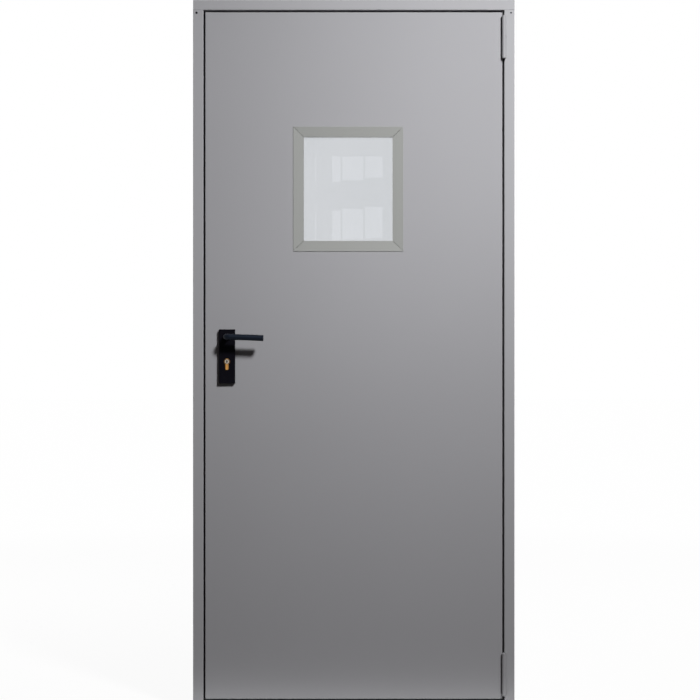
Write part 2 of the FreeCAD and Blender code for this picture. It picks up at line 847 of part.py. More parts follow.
# Swelling strips in the groove round the leaf, clear of the lock and the hinges
strips = new_body("edge_strips", several=True)
strip_low_y = leaf_mid - d.strip_width / 2
strip_high_y = leaf_mid + d.strip_width / 2
face_plate_low = face_plate_z - d.face_plate_rise / 2
face_plate_high = face_plate_z + d.face_plate_rise / 2
pad(
    strips,
    "LockSideStrips",
    "YZ",
    -web_side - d.strip_thick,
    -web_side,
    [
        rectangle(strip_low_y, strip_high_y, web_low, face_plate_low - 4),
        rectangle(strip_low_y, strip_high_y, face_plate_high + 4, web_high),
    ],
)
pad(
    strips,
    "HingeSideStrip",
    "YZ",
    web_side,
    web_side + d.strip_thick,
    [
        rectangle(
            strip_low_y,
            strip_high_y,
            hinge_low + d.barrel_rise / 2 + 4,
            hinge_high - d.barrel_rise / 2 - 4,
        )
    ],
)
pad(
    strips,
    "TopStrip",
    "XY",
    web_high,
    web_high + d.strip_thick,
    [rectangle(-web_side + 2, web_side - 2, strip_low_y, strip_high_y)],
)

# Double glazing: two panes with a spacer bar between them, held between the trims' seals
glass_front = leaf_front + d.glass_recess
glass_back = glass_front + d.pane_thick * 2 + d.cavity_thick

front_pane = new_body("front_glass_pane")
pad(
    front_pane,
    "Pane",
    "XZ",
    glass_front,
    glass_front + d.pane_thick,
    [window_outline(d.glass_rim)],
)
back_pane = new_body("back_glass_pane")
pad(
    back_pane,
    "Pane",
    "XZ",
    glass_back - d.pane_thick,
    glass_back,
    [window_outline(d.glass_rim)],
)
spacer = new_body("glass_spacer")
pad(
    spacer,
    "Bar",
    "XZ",
    glass_front + d.pane_thick,
    glass_back - d.pane_thick,
    [window_outline(d.glass_rim - 1), window_outline(d.glass_rim - 1 - d.spacer_width)],
)

front_glass_seal = new_body("front_glazing_seal")
pad(
    front_glass_seal,
    "Seal",
    "XZ",
    glass_front - d.glass_seal_thick,
    glass_front,
    [window_outline(d.glass_seal_width), window_outline(0)],
)
back_glass_seal = new_body("back_glazing_seal")
pad(
    back_glass_seal,
    "Seal",
    "XZ",
    glass_back,
    glass_back + d.glass_seal_thick,
    [window_outline(d.back_rim + d.glass_seal_width), window_outline(d.back_rim)],
)


# Window trims: mitred angles whose face lies on the skin and whose leg holds the glazing seal
def trim(label, front, sight, turn, side_x, side_z):
    """Built with its sight edge on the X axis and its face rising in +Z, then turned into place."""
    body = new_body(label)
    rim = 0 if front else d.back_rim
    inner = sight / 2 + rim - d.mitre_gap / 2
    plate = [
        (-inner, 0),
        (inner, 0),
        (inner + d.trim_face, d.trim_face),
        (-inner - d.trim_face, d.trim_face),
    ]
    leg = [
        (-inner, 0),
        (inner, 0),
        (inner + d.trim_leg, d.trim_leg),
        (-inner - d.trim_leg, d.trim_leg),
    ]
    if front:
        face_low, face_high = leaf_front - d.trim_thick, leaf_front
        leg_low, leg_high = leaf_front, glass_front - d.glass_seal_thick
    else:
        face_low, face_high = leaf_back, leaf_back + d.trim_thick
        leg_low, leg_high = glass_back + d.glass_seal_thick, leaf_back
    pad(body, "Face", "XZ", face_low, face_high, [plate])
    show = face_low.number if front else face_high.number
    dress(
        body,
        "Chamfer",
        "OuterBevel",
        d.trim_edge,
        lambda edge: abs(edge.CenterOfMass.z - d.trim_face.number) < 0.01
        and abs(edge.CenterOfMass.y - show) < 0.01,
    )
    pad(body, "Leg", "XZ", leg_low, leg_high, [leg])
    bind(body, "Placement.Base.x", d.window_x + side_x * (d.sight_width / 2 + rim))
    bind(body, "Placement.Base.z", d.window_z + side_z * (d.sight_rise / 2 + rim))
    body.Placement = FreeCAD.Placement(
        body.Placement.Base, FreeCAD.Rotation(FreeCAD.Vector(0, 1, 0), turn)
    )
    return body


trims = []
for wall, front in (("front", True), ("back", False)):
    trims.append(trim(f"{wall}_trim_top", front, d.sight_width, 0, 0, 1))
    trims.append(trim(f"{wall}_trim_right", front, d.sight_rise, 90, 1, 0))
    trims.append(trim(f"{wall}_trim_bottom", front, d.sight_width, 180, 0, -1))
    trims.append(trim(f"{wall}_trim_left", front, d.sight_rise, 270, -1, 0))


# Barrel hinges: the lower knuckle and the pin stay on the jamb, the upper knuckle on the leaf
def hinge_half(label, level, on_frame):
    """Built round its own axis, with the joint between the knuckles at Z = 0."""
    body = new_body(label)
    reach = d.barrel_rise / 2
    wing_reach = d.barrel_proud + d.wing_depth
    if on_frame:
        low, high = -reach, -d.knuckle_gap / 2
        wing_far = half - hinge_x
        wing = rectangle(wing_far - d.wing_thick, wing_far, 0, wing_reach)
        wing_low, wing_high = -d.hinge_notch / 2 + 2, high
    else:
        low, high = d.knuckle_gap / 2, reach
        beside = leaf_side - hinge_x
        inside = web_side - hinge_x
        knee = d.wing_knee + d.wing_thick * 0.4142
        wing = [
            (beside, 0),
            (beside + d.wing_thick, 0),
            (beside + d.wing_thick, knee),
            (inside + d.wing_thick, knee + d.groove_depth),
            (inside + d.wing_thick, wing_reach),
            (inside, wing_reach),
            (inside, d.wing_knee + d.groove_depth),
            (beside, d.wing_knee),
        ]
        wing_low, wing_high = low, d.hinge_notch / 2 - 2
    pad(body, "Knuckle", "XY", low, high, [("circle", 0, 0, d.barrel_size)])
    end = low.number if on_frame else high.number
    dress(
        body,
        "Chamfer",
        "EndChamfer",
        d.barrel_chamfer,
        lambda edge: abs(edge.CenterOfMass.z - end) < 0.01 and edge.Length > 10,
    )
    pad(body, "Wing", "XY", wing_low, wing_high, [wing])
    if on_frame:
        pin_top = d.knuckle_gap / 2 + d.pin_engagement
        pad(body, "Pin", "XY", -reach + 10, pin_top, [("circle", 0, 0, d.pin_size)])
    else:
        bore_top = d.knuckle_gap / 2 + d.pin_engagement + d.pin_play
        bore = d.pin_size + d.pin_play * 2
        pocket(body, "Bore", "XY", d.knuckle_gap / 2 - 1, bore_top, [("circle", 0, 0, bore)])
    bind(body, "Placement.Base.x", hinge_x)
    bind(body, "Placement.Base.y", hinge_y)
    bind(body, "Placement.Base.z", level)
    return body


hinges = [
    hinge_half("upper_hinge_frame_half", hinge_high, True),
    hinge_half("upper_hinge_leaf_half", hinge_high, False),
    hinge_half("lower_hinge_frame_half", hinge_low, True),
    hinge_half("lower_hinge_leaf_half", hinge_low, False),
]

# Lock case behind the lock edge, with the holes for the spindle, the cylinder and the bolts
case = new_body("lock_case")
case_low_y = leaf_mid - d.case_thick / 2
case_high_y = leaf_mid + d.case_thick / 2
pad(
    case,
    "Case",
    "XZ",
    case_low_y,
    case_high_y,
    [
        rectangle(
            edge_x,
            case_back_x,
            face_plate_z - d.case_rise / 2,
            face_plate_z + d.case_rise / 2,
        )
    ],
)
pocket(
    case,
    "SpindleHole",
    "XZ",
    case_low_y - 1,
    case_high_y + 1,
    [("circle", pivot_x, pivot_z, d.follower_hole)],
)
cut_key_shape(case, case_low_y - 1, case_high_y + 1)
bolt_face_x = edge_x - d.face_plate_thick
pocket(
    case,
    "LatchWay",
    "YZ",
    edge_x - 1,
    bolt_face_x + d.latch_length + 0.3,
    [
        rectangle(
            bolt_low_y - d.bolt_play,
            bolt_high_y + d.bolt_play,
            latch_low - d.bolt_play,
            latch_high + d.bolt_play,
        )
    ],
)
pocket(
    case,
    "DeadBoltWay",
    "YZ",
    edge_x - 1,
    bolt_face_x + d.dead_length + 0.3,
    [
        rectangle(
            bolt_low_y - d.bolt_play,
            bolt_high_y + d.bolt_play,
            dead_low - d.bolt_play,
            dead_high + d.bolt_play,
        )
    ],
)

# Face plate let into the edge groove, with round ends and the bolts' openings
face_plate = new_body("lock_face_plate")
pad(
    face_plate,
    "Plate",
    "YZ",
    bolt_face_x,
    edge_x,
    [
        rectangle(
            leaf_mid - d.face_plate_width / 2,
            leaf_mid + d.face_plate_width / 2,
            face_plate_low,
            face_plate_high,
        )
    ],
)
dress(
    face_plate,
    "Fillet",
    "RoundEnds",
    d.face_plate_width * 0.45,
    lambda edge: abs(edge.Length - d.face_plate_thick.number) < 0.01,
)
openings = []
for low, high in ((latch_low, latch_high), (dead_low, dead_high)):
    openings.append(
        rectangle(
            bolt_low_y - d.bolt_play,
            bolt_high_y + d.bolt_play,
            low - d.bolt_play,
            high + d.bolt_play,
        )
    )
pocket(face_plate, "BoltOpenings", "YZ", bolt_face_x - 1, edge_x + 1, openings)

# Latch with its slanted nose and dead bolt, both drawn back flush with the face plate
latch = new_body("latch_bolt")
pad(
    latch,
    "Latch",
    "XY",
    latch_low,
    latch_high,
    [
        [
            (bolt_face_x, bolt_low_y),
            (bolt_face_x + d.latch_length, bolt_low_y),
            (bolt_face_x + d.latch_length, bolt_high_y),
            (bolt_face_x + d.latch_slant, bolt_high_y),
            (bolt_face_x, bolt_low_y + 2),
        ]
    ],
)
dead_bolt = new_body("dead_bolt")
pad(
    dead_bolt,
    "Bolt",
    "YZ",
    bolt_face_x,
    bolt_face_x + d.dead_length,
    [rectangle(bolt_low_y, bolt_high_y, dead_low, dead_high)],
)
dress(
    dead_bolt,
    "Chamfer",
    "BoltEdge",
    d.bolt_play * 1.5,
    lambda edge: abs(edge.CenterOfMass.x - bolt_face_x.number) < 0.01,
)

# Key cylinder through the leaf with a turning plug at each end
cylinder = new_body("key_cylinder")
cylinder_low = leaf_front - d.plate_thick - d.cylinder_proud
cylinder_high = leaf_back + d.plate_thick + d.cylinder_proud
for name, outlines in zip(("Head", "Tail", "End"), key_shape(as_size(0))):
    pad(cylinder, name, "XZ", cylinder_low, cylinder_high, outlines)
plug_bore = ("circle", pivot_x, key_z, d.plug_size + d.plug_play * 2)
plug_reach = d.plug_length - d.plug_proud + d.plug_play
pocket(cylinder, "FrontBore", "XZ", cylinder_low - 1, cylinder_low + plug_reach, [plug_bore])
pocket(cylinder, "BackBore", "XZ", cylinder_high - plug_reach, cylinder_high + 1, [plug_bore])

plugs = new_body("key_plugs", several=True)
plug_face = ("circle", pivot_x, key_z, d.plug_size)
keyway = rectangle(
    pivot_x - d.keyway_width / 2,
    pivot_x + d.keyway_width / 2,
    key_z - d.keyway_rise / 2,
    key_z + d.keyway_rise / 2,
)
front_plug = cylinder_low - d.plug_proud
back_plug = cylinder_high + d.plug_proud
pad(plugs, "FrontPlug", "XZ", front_plug, front_plug + d.plug_length, [plug_face])
pad(plugs, "BackPlug", "XZ", back_plug - d.plug_length, back_plug, [plug_face])
pocket(plugs, "FrontKeyway", "XZ", front_plug - 1, front_plug + d.keyway_depth, [keyway])
pocket(plugs, "BackKeyway", "XZ", back_plug - d.keyway_depth, back_plug + 1, [keyway])


# Handle plates with the lever's bearing, the cylinder's cut-out and a bare recessed field
def handle_plate(label, front):
    body = new_body(label)
    if front:
        low, high = leaf_front - d.plate_thick, leaf_front
        shown = low
    else:
        low, high = leaf_back, leaf_back + d.plate_thick
        shown = high
    top = pivot_z + d.plate_over
    plate = rectangle(
        pivot_x - d.plate_width / 2,
        pivot_x + d.plate_width / 2,
        top - d.plate_rise,
        top,
    )
    pad(body, "Plate", "XZ", low, high, [plate])
    hidden = (high if front else low).number
    dress(
        body,
        "Chamfer",
        "BevelledEdges",
        d.plate_edge,
        lambda edge: abs(edge.CenterOfMass.y - hidden) > 0.01,
    )
    field = rectangle(
        pivot_x - d.badge_width / 2,
        pivot_x + d.badge_width / 2,
        pivot_z - d.badge_drop - d.badge_rise / 2,
        pivot_z - d.badge_drop + d.badge_rise / 2,
    )
    if front:
        pocket(body, "BareField", "XZ", shown - 1, shown + d.badge_depth, [field])
    pocket(
        body,
        "LeverBearing",
        "XZ",
        low - 1,
        high + 1,
        [("circle", pivot_x, pivot_z, d.lever_size + d.lever_play * 2)],
    )
    cut_key_shape(body, low - 1, high + 1)
    return body


front_plate = handle_plate("front_handle_plate", True)
back_plate = handle_plate("back_handle_plate", False)


# The elbows of the two levers turn opposite ways
ELBOW_BACKWARDS = {-1: False, 1: True}


# Levers: one round bar each, bent through a right angle, with the spindle's socket in the neck
def lever(label, front):
    """Built round the pivot, with the leaf's face at Y = 0 and the neck going out along -Y or +Y."""
    body = new_body(label)
    way = -1 if front else 1
    near = way * d.lever_root
    turn = way * (d.lever_offset - d.lever_bend)
    out = way * d.lever_offset
    low, high = (turn, near) if front else (near, turn)
    pad(body, "Neck", "XZ", low, high, [("circle", 0, 0, d.lever_size)])
    section = new_sketch(body, "XZ", turn)
    draw_circle(section, 0, 0, d.lever_size)
    axle_half = d.lever_size.number
    up = FreeCAD.Vector(d.lever_bend.number, axle_half, 0)
    down = FreeCAD.Vector(d.lever_bend.number, -axle_half, 0)
    section.addGeometry([Part.LineSegment(down, up)], True)
    axle = section.GeometryCount - 1
    rules = section.ConstraintCount
    section.addConstraint(
        [
            Sketcher.Constraint("DistanceX", -1, 1, axle, 1, d.lever_bend.number),
            Sketcher.Constraint("DistanceY", -1, 1, axle, 1, -axle_half),
            Sketcher.Constraint("DistanceY", -1, 1, axle, 2, axle_half),
            Sketcher.Constraint("Vertical", axle),
        ]
    )
    bind(section, f"Constraints[{rules}]", d.lever_bend)
    elbow = body.newObject("PartDesign::Revolution", "Elbow")
    elbow.Profile = section
    elbow.ReferenceAxis = (section, ["Axis0"])
    elbow.Angle = 90
    elbow.Reversed = ELBOW_BACKWARDS[way]
    body.Tip = elbow
    doc.recompute()
    bar = [("circle", out, 0, d.lever_size)]
    pad(body, "Bar", "YZ", d.lever_bend, d.lever_reach, bar)
    dress(
        body,
        "Chamfer",
        "SoftEnd",
        d.lever_edge,
        lambda edge: abs(edge.CenterOfMass.x - d.lever_reach.number) < 0.01 and edge.Length > 10,
    )
    socket = d.spindle_size / 2 + d.spindle_play
    square = rectangle(-socket, socket, -socket, socket)
    deep = d.lever_root + d.spindle_grip
    if front:
        pocket(body, "Socket", "XZ", -deep, 1, [square])
    else:
        pocket(body, "Socket", "XZ", -1, deep, [square])
    bind(body, "Placement.Base.x", pivot_x)
    bind(body, "Placement.Base.y", leaf_front if front else leaf_back)
    bind(body, "Placement.Base.z", pivot_z)
    body.Placement = FreeCAD.Placement(
        body.Placement.Base, FreeCAD.Rotation(FreeCAD.Vector(0, 1, 0), 0)
    )
    bind(body, "Placement.Rotation.Angle", d.lever_droop)
    return body


front_lever = lever("front_lever", True)
back_lever = lever("back_lever", False)

# Square spindle that turns both levers together
spindle = new_body("handle_spindle")
spindle_end = d.lever_root + d.spindle_grip - d.spindle_play
spindle_half = d.spindle_size / 2
pad(
    spindle,
    "Bar",
    "XZ",
    leaf_front - spindle_end,
    leaf_back + spindle_end,
    [rectangle(-spindle_half, spindle_half, -spindle_half, spindle_half)],
)
bind(spindle, "Placement.Base.x", pivot_x)
bind(spindle, "Placement.Base.z", pivot_z)
spindle.Placement = FreeCAD.Placement(
    spindle.Placement.Base, FreeCAD.Rotation(FreeCAD.Vector(0, 1, 0), 0)
)
bind(spindle, "Placement.Rotation.Angle", d.lever_droop)

doc.recompute()

# Every object must have been made without a fault
for thing in doc.Objects:
    if "Invalid" in thing.State or "Error" in thing.State:
        raise RuntimeError(f"{thing.Label} failed: {thing.State}")

bodies = [thing for thing in doc.Objects if thing.TypeId == "PartDesign::Body"]
os.makedirs("parts", exist_ok=True)
for body in bodies:
    shape = body.Shape
    if shape.isNull() or not shape.isValid() or not shape.Solids:
        raise RuntimeError(f"{body.Label} has no valid shape")
for body in bodies:
    body.Shape.exportStep(f"parts/{body.Label}.step")
    box = body.Shape.BoundBox
    print(
        f"{body.Label:26s} solids {len(body.Shape.Solids)} volume {body.Shape.Volume:14.1f}"
        f" x {box.XMin:8.2f} {box.XMax:8.2f} y {box.YMin:8.2f} {box.YMax:8.2f}"
        f" z {box.ZMin:8.2f} {box.ZMax:8.2f}"
    )
print(len(bodies), "pieces")
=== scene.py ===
import math

import bmesh
import bpy
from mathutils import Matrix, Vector


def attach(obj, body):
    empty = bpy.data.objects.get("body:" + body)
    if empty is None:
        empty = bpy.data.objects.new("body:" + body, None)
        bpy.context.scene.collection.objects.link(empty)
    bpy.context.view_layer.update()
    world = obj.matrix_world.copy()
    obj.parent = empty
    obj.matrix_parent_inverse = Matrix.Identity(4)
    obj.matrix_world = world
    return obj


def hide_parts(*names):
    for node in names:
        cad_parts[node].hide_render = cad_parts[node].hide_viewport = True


# Steel utility door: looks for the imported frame, leaf, window, hinges, lock and handles.
# Metres; +X to the right seen from the front, +Y into the wall, +Z up.

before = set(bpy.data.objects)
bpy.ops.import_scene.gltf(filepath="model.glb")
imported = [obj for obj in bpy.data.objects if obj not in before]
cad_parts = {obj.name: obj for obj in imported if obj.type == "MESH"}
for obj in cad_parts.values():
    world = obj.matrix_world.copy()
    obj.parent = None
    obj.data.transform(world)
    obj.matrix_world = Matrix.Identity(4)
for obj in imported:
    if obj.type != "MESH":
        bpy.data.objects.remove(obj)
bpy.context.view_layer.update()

# Places that the pieces share
LEAF_FRONT = -0.012
LEAF_BACK = 0.048
PLATE_THICK = 0.0114
WINDOW = Vector((-0.0162, 0.0, 1.5265))
SIGHT_WIDTH = 0.260
SIGHT_RISE = 0.303
TRIM_FACE = 0.031
TRIM_FALL = 0.0022
PIVOT = Vector((-0.370, 0.0, 1.094))
KEY_Z = 1.022
HINGE = Vector((0.439, -0.020, 0.0))
HINGE_LEVELS = (0.1082, 1.9704)
HINGE_HALF = 0.062

# Place of the camera, and of the glass face and the plane of the cards that it mirrors
CAMERA_X = -0.0111
CAMERA_Y = LEAF_FRONT - 4.7
CAMERA_Z = 1.0557
GLASS_Y = -0.006
CARD_Y = GLASS_Y - 5.0


# Camera: straight from the front, the door set a little left of centre in the picture
def add_camera():
    lens = bpy.data.cameras.new("front_view")
    lens.lens = 82.66
    lens.sensor_width = 36.0
    lens.clip_start = 0.05
    lens.clip_end = 60.0
    camera = bpy.data.objects.new("front_view", lens)
    bpy.context.scene.collection.objects.link(camera)
    camera.location = (CAMERA_X, CAMERA_Y, CAMERA_Z)
    camera.rotation_euler = (math.radians(90), 0.0, 0.0)
    bpy.context.scene.camera = camera


def new_lamp(name, shape, size, power, place, direction):
    """An area lamp at a place, turned to shine in a direction."""
    light = bpy.data.lights.new(name, "AREA")
    light.shape = shape
    light.size = size
    light.energy = power
    lamp = bpy.data.objects.new(name, light)
    bpy.context.scene.collection.objects.link(lamp)
    lamp.location = place
    lamp.rotation_mode = "QUATERNION"
    lamp.rotation_quaternion = direction.to_track_quat("-Z", "Y")
    return lamp


# Lamps: one high on the right in front of the door, a strip on the floor, and two soft ones for the back
def add_lamps():
    place = Vector((1.35, -2.50, 3.29))
    key = new_lamp("studio_lamp", "DISK", 0.55, 33.4, place, Vector((0.11, 0.0, 1.33)) - place)
    key.data.spread = math.radians(86)
    key.data.color = (1.0, 0.995, 1.0)
    for word, side, height, power in (("right", 2.3, 2.7, 62.0), ("left", -2.3, 2.1, 50.0)):
        place = Vector((side, 2.7, height))
        rear = new_lamp("rear_" + word + "_lamp", "DISK", 1.2, power, place, Vector((0.0, 0.0, 1.1)) - place)
        rear.visible_camera = False
    place = Vector((0.0, -0.075, 0.012))
    strip = new_lamp("floor_lamp", "RECTANGLE", 1.10, 0.158, place, Vector((0.0, 0.10, 0.06)))
    strip.data.size_y = 0.03
    strip.visible_camera = False
    strip.visible_glossy = False


# Cards: two bright windows of a room behind the camera, four panes each, which only reflections show
def add_cards():
    glow = bpy.data.materials.new("window_light")
    glow.use_nodes = True
    nodes = glow.node_tree.nodes
    nodes.clear()
    out = nodes.new("ShaderNodeOutputMaterial")
    shine = nodes.new("ShaderNodeEmission")
    shine.inputs["Color"].default_value = (0.90, 0.95, 1.0, 1.0)
    shine.inputs["Strength"].default_value = 1.6
    glow.node_tree.links.new(shine.outputs[0], out.inputs["Surface"])
    # Left, top, bottom and right edge of each reflection, as the camera sees it on the glass
    panes = [
        (-0.1130, 1.6195, 1.5440, -0.1105),
        (-0.0632, 1.6225, 1.5475, -0.0387),
        (-0.0333, 1.6225, 1.5530, 0.0275),
        (0.0328, 1.6225, 1.5600, 0.0839),
        (-0.1130, 1.4600, 1.3780, -0.1105),
        (-0.0632, 1.4636, 1.3780, -0.0387),
        (-0.0333, 1.4690, 1.3800, 0.0275),
        (0.0328, 1.4745, 1.3830, 0.0839),
    ]
    reach = GLASS_Y - CAMERA_Y
    away = (reach + GLASS_Y - CARD_Y) / reach
    for number, (left, top, low, right) in enumerate(panes):
        bpy.ops.mesh.primitive_plane_add(size=1.0, location=(0, 0, 0), rotation=(math.radians(90), 0, 0))
        card = bpy.context.object
        card.name = "window_card_" + str(number + 1)
        bpy.ops.object.transform_apply(location=True, rotation=True, scale=True)
        for point in card.data.vertices:
            x = left if point.co.x < 0 else right
            z = low if point.co.z < 0 else top
            point.co = (CAMERA_X + (x - CAMERA_X) * away, CARD_Y, CAMERA_Z + (z - CAMERA_Z) * away)
        card.data.materials.append(glow)
        card.visible_camera = False
        card.visible_diffuse = False
        card.visible_transmission = False
        card.visible_shadow = False


def direct_rays(nodes, links):
    """The kinds of ray, and a value that is 1 for those of the camera and those through glass."""
    path = nodes.new("ShaderNodeLightPath")
    clear = nodes.new("ShaderNodeMath")
    clear.operation = "MAXIMUM"
    links.new(path.outputs["Is Camera Ray"], clear.inputs[0])
    links.new(path.outputs["Is Transmission Ray"], clear.inputs[1])
    return path, clear


# World: white for the camera and through glass, a grey room in reflections, and a weak warm fill
def set_world():
    world = bpy.data.worlds.new("studio")
    bpy.context.scene.world = world
    world.use_nodes = True
    nodes = world.node_tree.nodes
    links = world.node_tree.links
    nodes.clear()
    out = nodes.new("ShaderNodeOutputWorld")
    seen = nodes.new("ShaderNodeBackground")
    seen.inputs["Color"].default_value = (1.0, 1.0, 1.0, 1.0)
    seen.inputs["Strength"].default_value = 1.0
    fill = nodes.new("ShaderNodeBackground")
    fill.inputs["Color"].default_value = (1.0, 0.82, 0.78, 1.0)
    fill.inputs["Strength"].default_value = 0.046
    room = nodes.new("ShaderNodeBackground")
    room.inputs["Color"].default_value = (0.86, 0.93, 1.0, 1.0)
    room.inputs["Strength"].default_value = 0.30
    path, clear = direct_rays(nodes, links)
    mirror = nodes.new("ShaderNodeMixShader")
    mix = nodes.new("ShaderNodeMixShader")
    links.new(path.outputs["Is Glossy Ray"], mirror.inputs[0])
    links.new(fill.outputs[0], mirror.inputs[1])
    links.new(room.outputs[0], mirror.inputs[2])
    links.new(clear.outputs[0], mix.inputs[0])
    links.new(mirror.outputs[0], mix.inputs[1])
    links.new(seen.outputs[0], mix.inputs[2])
    links.new(mix.outputs[0], out.inputs["Surface"])


# Floor: pale, almost white where the camera sees it, with the door's shadow kept
def add_floor():
    bpy.ops.mesh.primitive_plane_add(size=60.0, location=(0.0, 0.0, 0.0))
    floor = bpy.context.object
    floor.name = "floor"
    paint = bpy.data.materials.new("floor_white")
    paint.use_nodes = True
    nodes = paint.node_tree.nodes
    links = paint.node_tree.links
    nodes.clear()
    out = nodes.new("ShaderNodeOutputMaterial")
    matt = nodes.new("ShaderNodeBsdfDiffuse")
    path, clear = direct_rays(nodes, links)
    mirror = nodes.new("ShaderNodeMath")
    mirror.operation = "MULTIPLY_ADD"
    mirror.inputs[1].default_value = 0.30
    mirror.use_clamp = True
    colour = nodes.new("ShaderNodeMix")
    colour.data_type = "RGBA"
    colour.inputs["A"].default_value = (0.15, 0.145, 0.14, 1.0)
    colour.inputs["B"].default_value = (0.95, 0.95, 0.95, 1.0)
    links.new(path.outputs["Is Glossy Ray"], mirror.inputs[0])
    links.new(clear.outputs[0], mirror.inputs[2])
    links.new(clear.outputs[0], colour.inputs["Factor"])
    links.new(colour.outputs["Result"], matt.inputs["Color"])
    glow = nodes.new("ShaderNodeEmission")
    glow.inputs["Color"].default_value = (1.0, 1.0, 1.0, 1.0)
    glow.inputs["Strength"].default_value = 1.0
    place = nodes.new("ShaderNodeTexCoord")
    away = nodes.new("ShaderNodeVectorMath")
    away.operation = "LENGTH"
    far = nodes.new("ShaderNodeMapRange")
    far.inputs["From Min"].default_value = 1.0
    far.inputs["From Max"].default_value = 5.0
    far.inputs["To Min"].default_value = 0.92
    far.inputs["To Max"].default_value = 0.995
    seen = nodes.new("ShaderNodeMath")
    seen.operation = "MULTIPLY"
    mix = nodes.new("ShaderNodeMixShader")
    links.new(place.outputs["Object"], away.inputs[0])
    links.new(away.outputs["Value"], far.inputs["Value"])
    links.new(mirror.outputs[0], seen.inputs[0])
    links.new(far.outputs["Result"], seen.inputs[1])
    links.new(seen.outputs[0], mix.inputs[0])
    links.new(matt.outputs[0], mix.inputs[1])
    links.new(glow.outputs[0], mix.inputs[2])
    links.new(mix.outputs[0], out.inputs["Surface"])
    floor.data.materials.append(paint)


# Finishes
def new_finish(name):
    """A new finish with its nodes, its links, its shader and a node that gives the place on the piece."""
    finish = bpy.data.materials.new(name)
    finish.use_nodes = True
    nodes = finish.node_tree.nodes
    shader = nodes["Principled BSDF"]
    place = nodes.new("ShaderNodeTexCoord")
    return finish, nodes, finish.node_tree.links, shader, place


def cloud(nodes, links, place, scale, detail=2.0, stretch=None):
    """Soft random values over the piece; stretch draws them out along an axis."""
    noise = nodes.new("ShaderNodeTexNoise")
    noise.inputs["Scale"].default_value = scale
    noise.inputs["Detail"].default_value = detail
    source = place.outputs["Object"]
    if stretch:
        mapping = nodes.new("ShaderNodeMapping")
        mapping.inputs["Scale"].default_value = stretch
        links.new(source, mapping.inputs["Vector"])
        source = mapping.outputs["Vector"]
    links.new(source, noise.inputs["Vector"])
    return noise.outputs["Fac"]


def tone(nodes, links, value, dark, light, low=0.3, high=0.7):
    """A colour between dark and light, by a random value."""
    ramp = nodes.new("ShaderNodeValToRGB")
    ramp.color_ramp.elements[0].position = low
    ramp.color_ramp.elements[0].color = (*dark, 1.0)
    ramp.color_ramp.elements[1].position = high
    ramp.color_ramp.elements[1].color = (*light, 1.0)
    links.new(value, ramp.inputs["Fac"])
    return ramp.outputs["Color"]


def spread(nodes, links, value, low, high):
    """A number between low and high, by a random value."""
    ranged = nodes.new("ShaderNodeMapRange")
    ranged.inputs["From Min"].default_value = 0.3
    ranged.inputs["From Max"].default_value = 0.7
    ranged.inputs["To Min"].default_value = low
    ranged.inputs["To Max"].default_value = high
    links.new(value, ranged.inputs["Value"])
    return ranged.outputs["Result"]


def bump(nodes, links, value, height, strength):
    """A raised or sunk surface of that height in metres."""
    node = nodes.new("ShaderNodeBump")
    node.inputs["Strength"].default_value = strength
    node.inputs["Distance"].default_value = height
    links.new(value, node.inputs["Height"])
    return node.outputs["Normal"]


def around(colour, part):
    """A darker and a lighter neighbour of a colour."""
    return tuple(c * (1 - part) for c in colour), tuple(min(c * (1 + part), 1.0) for c in colour)


def powder_paint(name, colour, rough=0.50, level=0.25):
    """Powder coat: satin, with a fine orange-peel surface and a faint change of tone."""
    finish, nodes, links, shader, place = new_finish(name)
    wide = cloud(nodes, links, place, 1.7, 3.0)
    dark, light = around(colour, 0.014)
    links.new(tone(nodes, links, wide, dark, light), shader.inputs["Base Color"])
    middle = cloud(nodes, links, place, 38.0, 2.0)
    links.new(spread(nodes, links, middle, rough - 0.02, rough + 0.02), shader.inputs["Roughness"])
    peel = cloud(nodes, links, place, 620.0, 1.0)
    links.new(bump(nodes, links, peel, 0.00005, 0.35), shader.inputs["Normal"])
    shader.inputs["Specular IOR Level"].default_value = level
    return finish


def moulded_plastic(name, colour, rough=0.42, level=0.2, tint=(1.0, 1.0, 1.0)):
    """Moulded plastic with a fine spark-eroded grain."""
    finish, nodes, links, shader, place = new_finish(name)
    wide = cloud(nodes, links, place, 24.0, 2.0)
    dark, light = around(colour, 0.10)
    links.new(tone(nodes, links, wide, dark, light), shader.inputs["Base Color"])
    middle = cloud(nodes, links, place, 90.0, 2.0)
    links.new(spread(nodes, links, middle, rough - 0.03, rough + 0.03), shader.inputs["Roughness"])
    grain = cloud(nodes, links, place, 2600.0, 1.0)
    links.new(bump(nodes, links, grain, 0.00003, 0.30), shader.inputs["Normal"])
    shader.inputs["Specular IOR Level"].default_value = level
    shader.inputs["Specular Tint"].default_value = (*tint, 1.0)
    return finish


def brushed_metal(name, colour, rough=0.34, stretch=(1.0, 1.0, 40.0), part=0.06):
    """Metal with fine lines drawn along it."""
    finish, nodes, links, shader, place = new_finish(name)
    lines = cloud(nodes, links, place, 60.0, 3.0, stretch)
    dark, light = around(colour, part)
    links.new(tone(nodes, links, lines, dark, light), shader.inputs["Base Color"])
    links.new(spread(nodes, links, lines, rough - 0.05, rough + 0.06), shader.inputs["Roughness"])
    links.new(bump(nodes, links, lines, 0.00002, 0.3), shader.inputs["Normal"])
    shader.inputs["Metallic"].default_value = 1.0
    return finish


